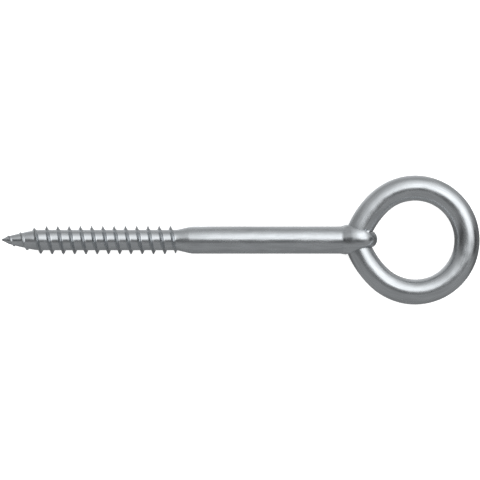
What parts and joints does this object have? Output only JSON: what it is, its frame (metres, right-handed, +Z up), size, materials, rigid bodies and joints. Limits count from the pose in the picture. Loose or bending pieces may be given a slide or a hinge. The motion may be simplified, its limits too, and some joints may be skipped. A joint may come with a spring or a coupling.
{
  "type": "eye bolt with captive ring",
  "caption": "Forged eye bolt with a wood-screw thread, a plain shank and a closed hook that holds a loose round-wire ring.",
  "frame": {"origin": "on the shank's axis, at the shoulder where the plain shank ends and the hook starts", "axes": "+X along the shank from the point towards the ring, +Y across the ring along the hook's seat, +Z up from the plane the part lies in, out of the front of the hook"},
  "size_m": [0.2117, 0.0572, 0.017],
  "materials": {
    "screw_zinc": "bright zinc plating, satin, with fine lines along the shank",
    "ring_zinc": "bright zinc plating, satin, on drawn wire"
  },
  "bodies": {
    "screw": {"screw": "screw_zinc"},
    "ring": {"ring": "ring_zinc"}
  },
  "joints": [
    {"name": "ring_swing", "type": "hinge", "parent": "screw", "child": "ring", "pos_m": [0.00665, 0, 0], "axis": [0, 1, 0], "range_deg": [-40, 40]}
  ]
}
